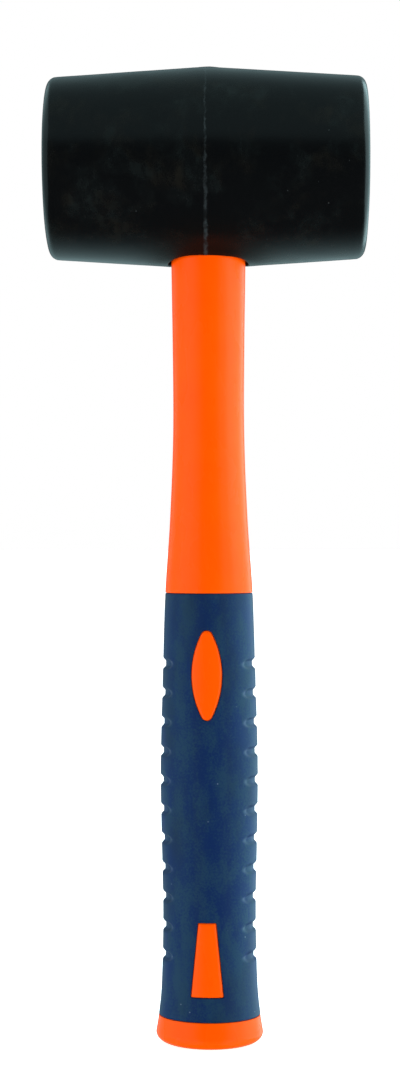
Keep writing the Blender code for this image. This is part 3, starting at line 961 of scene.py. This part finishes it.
def moulded_rubber():
    """Carbon-black natural rubber, press moulded: near black and satin, with a grey bloom in soft
    patches, wipe marks, specks of dust, a fine grain, and pale flash on the parting line. Soil dulls
    it round the eye, where a warmer tint is a painted reflection of the orange handle; blows dull
    the faces."""
    made, tree = new_material("moulded_black_rubber", "#121517")
    where = add(tree, "TexCoord").outputs["Object"]
    bloom = add(tree, "TexNoise", {"Vector": where, "Scale": per_mm(17), "Detail": 6.0, "Roughness": 0.66})
    patch = add(tree, "MapRange", {"Value": bloom.outputs["Fac"], "From Min": 0.46, "From Max": 0.78})
    slant = add(tree, "Mapping", {"Vector": where, "Scale": (1.0, 1.0, 0.45), "Rotation": (0, 0.6, 0)})
    wipe = add(
        tree, "TexNoise", {"Vector": slant.outputs[0], "Scale": per_mm(3.6), "Detail": 5.0, "Roughness": 0.6}
    )
    streak = add(tree, "MapRange", {"Value": wipe.outputs["Fac"], "From Min": 0.42, "From Max": 0.80})
    smear = add(tree, "Math", {0: patch.outputs[0], 1: streak.outputs[0]}, operation="MULTIPLY")
    haze = add(tree, "Math", {0: patch.outputs[0], 1: 0.18, 2: smear.outputs[0]}, operation="MULTIPLY_ADD")
    earth = add(tree, "TexNoise", {"Vector": where, "Scale": per_mm(12), "Detail": 2.0})
    tinge = add(tree, "MapRange", {"Value": earth.outputs["Fac"], "From Min": 0.46, "From Max": 0.56})
    dirt = add(
        tree, "Mix", {0: tinge.outputs[0], 6: linear("#1b2221"), 7: linear("#1c1a14")}, data_type="RGBA"
    )
    bloomed = add(
        tree, "Mix", {0: haze.outputs[0], 6: linear("#08090a"), 7: dirt.outputs[2]}, data_type="RGBA"
    )
    place = add(tree, "SeparateXYZ", {0: where})
    flat = add(tree, "CombineXYZ", {"X": place.outputs["X"], "Y": place.outputs["Y"]})
    off_axis = add(tree, "VectorMath", {0: flat.outputs[0]}, operation="LENGTH")
    # Ring round the eye, fading up the head: dulled by soil, and warmer for a painted reflection of the
    # orange handle.
    beside = add(
        tree, "MapRange",
        {"Value": off_axis.outputs["Value"], "From Min": SOIL_AND_REFLECTION_FAR_R, "From Max": SOIL_AND_REFLECTION_NEAR_R},
        interpolation_type="SMOOTHSTEP",
    )
    under = add(
        tree, "MapRange", {"Value": place.outputs["Z"], "From Min": SOIL_AND_REFLECTION_HIGH_Z, "From Max": SOIL_AND_REFLECTION_LOW_Z},
        interpolation_type="SMOOTHSTEP",
    )
    mark_mask = add(tree, "Math", {0: beside.outputs[0], 1: under.outputs[0]}, operation="MULTIPLY")
    # The warmer colour in the ring round the eye is a painted reflection of the orange handle.
    colour = add(
        tree, "Mix", {0: mark_mask.outputs[0], 6: bloomed.outputs[2], 7: linear("#0c0a08")}, data_type="RGBA"
    )
    cells = add(tree, "TexVoronoi", {"Vector": where, "Scale": per_mm(3.4), "Randomness": 1.0})
    dot = add(tree, "MapRange", {"Value": cells.outputs["Distance"], "From Min": 0.06, "From Max": 0.02})
    lot = add(tree, "SeparateXYZ", {0: cells.outputs["Color"]})
    chosen = add(tree, "MapRange", {"Value": lot.outputs["X"], "From Min": 0.80, "From Max": 1.1})
    specks = add(tree, "Math", {0: dot.outputs[0], 1: chosen.outputs[0]}, operation="MULTIPLY")
    dusted = add(
        tree, "Mix", {0: specks.outputs[0], 6: colour.outputs[2], 7: linear("#6a7274")}, data_type="RGBA"
    )
    kinks = add(tree, "TexNoise", {"Vector": where, "Scale": per_mm(2.4), "Detail": 3.0, "Roughness": 0.6})
    # The noise lies about 0.5, so the line is first set back by half of what the noise moves it.
    centred = add(tree, "Math", {0: place.outputs["X"], 1: FLASH_X + CHALK_KINK / 2}, operation="SUBTRACT")
    kinked = add(
        tree, "Math", {0: kinks.outputs["Fac"], 1: CHALK_KINK, 2: centred.outputs[0]},
        operation="MULTIPLY_ADD",
    )
    off_line = add(tree, "Math", {0: kinked.outputs[0]}, operation="ABSOLUTE")
    smudged = add(
        tree, "MapRange",
        {"Value": place.outputs["Z"], "From Min": SMUDGE_HIGH_Z, "From Max": SMUDGE_LOW_Z,
         "To Min": 0.4 * MM, "To Max": 0.95 * MM},
    )
    line = add(
        tree, "MapRange",
        {"Value": off_line.outputs[0], "From Min": smudged.outputs[0], "From Max": 0.08 * MM},
        interpolation_type="SMOOTHSTEP",
    )
    broken = add(tree, "TexNoise", {"Vector": where, "Scale": per_mm(4.2), "Detail": 5.0, "Roughness": 0.7})
    dashes = add(
        tree, "MapRange",
        {"Value": broken.outputs["Fac"], "From Min": 0.40, "From Max": 0.68, "To Min": 0.12},
    )
    chalk = add(tree, "Math", {0: line.outputs[0], 1: dashes.outputs[0]}, operation="MULTIPLY")
    flashed = add(
        tree, "Mix", {0: chalk.outputs[0], 6: dusted.outputs[2], 7: linear("#2c3234")}, data_type="RGBA"
    )
    from_middle = add(tree, "Math", {0: place.outputs["X"], 1: HEAD_SHIFT}, operation="SUBTRACT")
    endwise = add(tree, "Math", {0: from_middle.outputs[0]}, operation="ABSOLUTE")
    struck = add(
        tree, "MapRange",
        {"Value": endwise.outputs[0], "From Min": STRUCK_FROM_X, "From Max": STRUCK_TO_X, "To Max": 0.6},
    )
    scuffed = add(tree, "Math", {0: struck.outputs[0], 1: 0.8, 2: haze.outputs[0]}, operation="MULTIPLY_ADD")
    rough = add(tree, "MapRange", {"Value": scuffed.outputs[0], "To Min": 0.24, "To Max": 0.46})
    # Soil in the ring round the eye and blows on the faces dull the shine.
    dull = add(tree, "Math", {0: mark_mask.outputs[0], 1: struck.outputs[0]}, operation="MAXIMUM")
    shine = add(tree, "MapRange", {"Value": dull.outputs[0], "To Min": 0.35, "To Max": 0.07})
    # The mould's blasted grain is about 0.2 mm; it is drawn at 0.6 mm to show.
    grain = add(tree, "TexNoise", {"Vector": where, "Scale": per_mm(0.6), "Detail": 3.0})
    swell = add(tree, "TexNoise", {"Vector": where, "Scale": per_mm(4.5), "Detail": 2.0})
    relief = add(
        tree, "Math", {0: swell.outputs["Fac"], 1: 2.0, 2: grain.outputs["Fac"]}, operation="MULTIPLY_ADD"
    )
    bump = add(tree, "Bump", {"Strength": 0.22, "Distance": 0.06 * MM, "Height": relief.outputs[0]})
    shader = add(
        tree, "BsdfPrincipled",
        {"Base Color": flashed.outputs[2], "Roughness": rough.outputs[0], "Normal": bump.outputs[0],
         "IOR": 1.52, "Specular IOR Level": shine.outputs[0]},
    )
    add(tree, "OutputMaterial", {"Surface": shader.outputs[0]})
    return made


def moulded_polypropylene():
    """Orange polypropylene, injection moulded: saturated and satin, a little cloudy, with a fine
    spark-eroded texture and patches where handling has dulled it."""
    made, tree = new_material("moulded_orange_polypropylene", "#fb5b05")
    where = add(tree, "TexCoord").outputs["Object"]
    cloud = add(tree, "TexNoise", {"Vector": where, "Scale": per_mm(14), "Detail": 4.0, "Roughness": 0.55})
    colour = add(
        tree, "Mix", {0: cloud.outputs["Fac"], 6: linear("#ff5700"), 7: linear("#ff4d00")}, data_type="RGBA"
    )
    lengthwise = add(tree, "Mapping", {"Vector": where, "Scale": (1.0, 1.0, 0.4)})
    rub = add(tree, "TexNoise", {"Vector": lengthwise.outputs[0], "Scale": per_mm(9), "Detail": 5.0})
    worn = add(
        tree, "MapRange",
        {"Value": rub.outputs["Fac"], "From Min": 0.35, "From Max": 0.75, "To Min": 0.25, "To Max": 0.31},
    )
    # Spark erosion leaves pits of about 0.1 mm; they are drawn at 0.5 mm to show.
    grain = add(tree, "TexNoise", {"Vector": where, "Scale": per_mm(0.5), "Detail": 2.0})
    bump = add(tree, "Bump", {"Strength": 0.15, "Distance": 0.04 * MM, "Height": grain.outputs["Fac"]})
    shader = add(
        tree, "BsdfPrincipled",
        {"Base Color": colour.outputs[2], "Roughness": worn.outputs[0], "Normal": bump.outputs[0],
         "IOR": 1.49, "Specular IOR Level": 0.12},
    )
    add(tree, "OutputMaterial", {"Surface": shader.outputs[0]})
    return made


def overmoulded_tpr():
    """Navy thermoplastic rubber, moulded over the handle: matt and slightly dusty, mottled in
    streaks along the handle where it flowed, soiled by the hand near the top, with pale lint."""
    made, tree = new_material("navy_thermoplastic_rubber", "#1f3553")
    where = add(tree, "TexCoord").outputs["Object"]
    flow = add(tree, "Mapping", {"Vector": where, "Scale": (1.0, 1.0, 0.42)})
    cloud = add(
        tree, "TexNoise", {"Vector": flow.outputs[0], "Scale": per_mm(6), "Detail": 4.0, "Roughness": 0.55}
    )
    # The mould's matt texture is about 0.2 mm; it is drawn at 0.7 mm to show.
    grain = add(tree, "TexNoise", {"Vector": where, "Scale": per_mm(0.7), "Detail": 4.0})
    grainy = add(
        tree, "Math", {0: grain.outputs["Fac"], 1: 0.8, 2: cloud.outputs["Fac"]}, operation="MULTIPLY_ADD"
    )
    mottle = add(tree, "MapRange", {"Value": grainy.outputs[0], "From Min": 0.78, "From Max": 1.04})
    colour = add(
        tree, "Mix", {0: mottle.outputs[0], 6: linear("#08204e"), 7: linear("#17324c")}, data_type="RGBA"
    )
    patch = add(
        tree, "TexNoise", {"Vector": flow.outputs[0], "Scale": per_mm(16), "Detail": 5.0, "Roughness": 0.6}
    )
    place = add(tree, "SeparateXYZ", {0: where})
    top = add(
        tree, "MapRange",
        {"Value": place.outputs["Z"], "From Min": HAND_SOIL_LOW_Z, "From Max": HAND_SOIL_HIGH_Z,
         "To Max": 0.14},
    )
    handled = add(tree, "Math", {0: patch.outputs["Fac"], 1: top.outputs[0]}, operation="ADD")
    mark_mask = add(
        tree, "MapRange", {"Value": handled.outputs[0], "From Min": 0.48, "From Max": 0.72, "To Max": 0.6}
    )
    soiled = add(
        tree, "Mix", {0: mark_mask.outputs[0], 6: colour.outputs[2], 7: linear("#152536")}, data_type="RGBA"
    )
    cells = add(tree, "TexVoronoi", {"Vector": where, "Scale": per_mm(3.2), "Randomness": 1.0})
    dot = add(tree, "MapRange", {"Value": cells.outputs["Distance"], "From Min": 0.10, "From Max": 0.03})
    few = add(tree, "SeparateXYZ", {0: cells.outputs["Color"]})
    chosen = add(tree, "Math", {0: few.outputs["X"], 1: 0.86}, operation="GREATER_THAN")
    lint = add(tree, "Math", {0: dot.outputs[0], 1: chosen.outputs[0]}, operation="MULTIPLY")
    faint = add(tree, "Math", {0: lint.outputs[0], 1: 0.35}, operation="MULTIPLY")
    specked = add(
        tree, "Mix", {0: faint.outputs[0], 6: soiled.outputs[2], 7: linear("#8fa3b5")}, data_type="RGBA"
    )
    rough = add(tree, "MapRange", {"Value": cloud.outputs["Fac"], "To Min": 0.42, "To Max": 0.56})
    bump = add(tree, "Bump", {"Strength": 0.35, "Distance": 0.06 * MM, "Height": grain.outputs["Fac"]})
    shader = add(
        tree, "BsdfPrincipled",
        {"Base Color": specked.outputs[2], "Roughness": rough.outputs[0], "Normal": bump.outputs[0],
         "IOR": 1.48, "Specular IOR Level": 0.30, "Specular Tint": linear("#c4f0f8")},
    )
    add(tree, "OutputMaterial", {"Surface": shader.outputs[0]})
    return made


def sawn_fibreglass():
    """Glass roving in polyester, pultruded and sawn: straw coloured and matt, dotted with the cut
    ends of the rovings."""
    made, tree = new_material("pultruded_fibreglass", "#c9bd86")
    where = add(tree, "TexCoord").outputs["Object"]
    # Single glass fibres are about 0.02 mm; the cells are as wide as a small roving of them.
    rovings = add(tree, "TexVoronoi", {"Vector": where, "Scale": per_mm(0.55), "Randomness": 0.9})
    colour = add(
        tree, "Mix", {0: rovings.outputs["Distance"], 6: linear("#ddd3a4"), 7: linear("#8f8250")},
        data_type="RGBA",
    )
    saw = add(tree, "Mapping", {"Vector": where, "Scale": (1.0, 0.1, 1.0), "Rotation": (0, 0, 0.5)})
    cuts = add(tree, "TexNoise", {"Vector": saw.outputs[0], "Scale": per_mm(0.35), "Detail": 2.0})
    bump = add(tree, "Bump", {"Strength": 0.4, "Distance": 0.08 * MM, "Height": cuts.outputs["Fac"]})
    shader = add(
        tree, "BsdfPrincipled",
        {"Base Color": colour.outputs[2], "Roughness": 0.6, "Normal": bump.outputs[0], "IOR": 1.55},
    )
    add(tree, "OutputMaterial", {"Surface": shader.outputs[0]})
    return made


def cast_epoxy():
    """Black filled epoxy, poured and left to set: half gloss with tiny bubbles."""
    made, tree = new_material("cast_black_epoxy", "#101113")
    where = add(tree, "TexCoord").outputs["Object"]
    bubbles = add(tree, "TexVoronoi", {"Vector": where, "Scale": per_mm(0.9), "Randomness": 1.0})
    pits = add(tree, "MapRange", {"Value": bubbles.outputs["Distance"], "From Min": 0.05, "From Max": 0.25})
    colour = add(
        tree, "Mix", {0: pits.outputs[0], 6: linear("#24262a"), 7: linear("#101113")}, data_type="RGBA"
    )
    bump = add(tree, "Bump", {"Strength": 0.5, "Distance": 0.08 * MM, "Height": pits.outputs[0]})
    shader = add(
        tree, "BsdfPrincipled",
        {"Base Color": colour.outputs[2], "Roughness": 0.3, "Normal": bump.outputs[0], "IOR": 1.56},
    )
    add(tree, "OutputMaterial", {"Surface": shader.outputs[0]})
    return made


# ---------------------------------------------------------------- studio


def lamp(name, kind, centre, target, strength):
    """A lamp that points at the target and stays out of the camera's sight."""
    light = bpy.data.lights.new(name, kind)
    light.energy = strength
    made = bpy.data.objects.new(name, light)
    bpy.context.scene.collection.objects.link(made)
    made.location = centre
    made.rotation_euler = (Vector(target) - Vector(centre)).to_track_quat("-Z", "Y").to_euler()
    made.visible_camera = False
    return made


def softbox(name, centre, size, power):
    """A rectangular softbox beside the mallet."""
    made = lamp(name, "AREA", centre, MALLET_MIDDLE, power)
    made.data.color = linear(LIGHT_TINT)[:3]
    made.data.shape = "RECTANGLE"
    made.data.size, made.data.size_y = size


def fill(name, direction, strength):
    """A very soft light from far off, as from a wall too dull to show in the gloss."""
    made = lamp(name, "SUN", direction, (0, 0, 0), strength)
    made.data.angle = radians(80)
    made.visible_glossy = False


def make_floor():
    """A plain pale floor, a hair below the butt and wide enough to pass out of every view."""
    shape = bmesh.new()
    bmesh.ops.create_grid(shape, x_segments=8, y_segments=8, size=FLOOR_HALF)
    mesh = bpy.data.meshes.new("floor")
    shape.to_mesh(mesh)
    shape.free()
    floor = bpy.data.objects.new("floor", mesh)
    bpy.context.scene.collection.objects.link(floor)
    floor.location.z = FLOOR_Z
    made, tree = new_material("pale_floor", "#ffffff")
    shader = add(
        tree, "BsdfPrincipled",
        {"Base Color": linear("#ffffff"), "Roughness": 0.9, "Specular IOR Level": 0.0,
         "Emission Color": linear("#ffffff"), "Emission Strength": 0.86},
    )
    add(tree, "OutputMaterial", {"Surface": shader.outputs[0]})
    mesh.materials.append(made)
    floor.visible_glossy = False
    floor.visible_diffuse = False
    floor.visible_shadow = False


def light_studio():
    """White all round for the eye; for the light, a dark front, a dim ceiling and a brighter back.

    Two softboxes stand beside the mallet, and soft fills come from in front, behind and above.
    """
    world = bpy.data.worlds.new("studio")
    bpy.context.scene.world = world
    world.use_nodes = True
    tree = world.node_tree
    tree.nodes.clear()
    way = add(tree, "SeparateXYZ", {0: add(tree, "TexCoord").outputs["Generated"]})
    back = add(
        tree, "MapRange",
        {"Value": way.outputs["Y"], "From Min": 0.0, "From Max": 0.9, "To Min": 0.004, "To Max": 0.5},
        interpolation_type="SMOOTHSTEP",
    )
    down = add(
        tree, "MapRange",
        {"Value": way.outputs["Z"], "From Min": 0.02, "From Max": -0.16, "To Min": 0.3, "To Max": 1.4},
    )
    behind = add(tree, "Math", {0: back.outputs[0], 1: down.outputs[0]}, operation="MULTIPLY")
    ceiling = add(
        tree, "MapRange", {"Value": way.outputs["Z"], "From Min": 0.34, "From Max": 0.48, "To Max": 0.26},
        interpolation_type="SMOOTHSTEP",
    )
    strength = add(tree, "Math", {0: behind.outputs[0], 1: ceiling.outputs[0]}, operation="ADD")
    cards = add(tree, "Background", {"Color": linear(LIGHT_TINT), "Strength": strength.outputs[0]})
    seen = add(tree, "Background", {"Color": linear("#ffffff"), "Strength": 1.0})
    path = add(tree, "LightPath")
    mixed = add(
        tree, "MixShader", {0: path.outputs["Is Camera Ray"], 1: cards.outputs[0], 2: seen.outputs[0]}
    )
    add(tree, "OutputWorld", {"Surface": mixed.outputs[0]})
    softbox("right_softbox", (0.80, 0.20, 0.35), (1.62, 1.7), 19.6)
    softbox("left_softbox", (-0.80, 0.06, 0.35), (1.9, 1.7), 6.0)
    fill("front_right_fill", (0.92, -0.38, -0.42), 3.9)
    fill("front_left_fill", (-0.88, -0.47, -0.42), 3.4)
    fill("back_fill", (0, 1, 0.1), 2.4)
    fill("top_fill", (0, 0, 1), 0.5)


def place_camera():
    """Eye-level view from in front, a touch to the right of square on."""
    lens, distance, height = 64.6, 0.682, 0.1745
    azimuth, roll = radians(0.9), radians(0.1)
    aim_x = -3.1 * MM
    data = bpy.data.cameras.new("camera")
    data.sensor_width = 36.0
    data.sensor_fit = "AUTO"
    data.lens = lens
    data.clip_start = 0.01
    camera = bpy.data.objects.new("camera", data)
    bpy.context.scene.collection.objects.link(camera)
    right = Vector((cos(azimuth), sin(azimuth), 0))
    back = Vector((sin(azimuth), -cos(azimuth), 0))
    camera.location = back * distance + right * aim_x + Vector((0, 0, height))
    camera.rotation_euler = (pi / 2, roll, azimuth)
    bpy.context.scene.camera = camera


def main():
    make_head(moulded_rubber())
    make_handle_jacket(moulded_polypropylene())
    make_grip(overmoulded_tpr())
    make_core_rod(sawn_fibreglass())
    make_eye_glue(cast_epoxy())
    make_floor()
    light_studio()
    place_camera()
    bpy.context.scene.view_settings.view_transform = "Standard"


main()
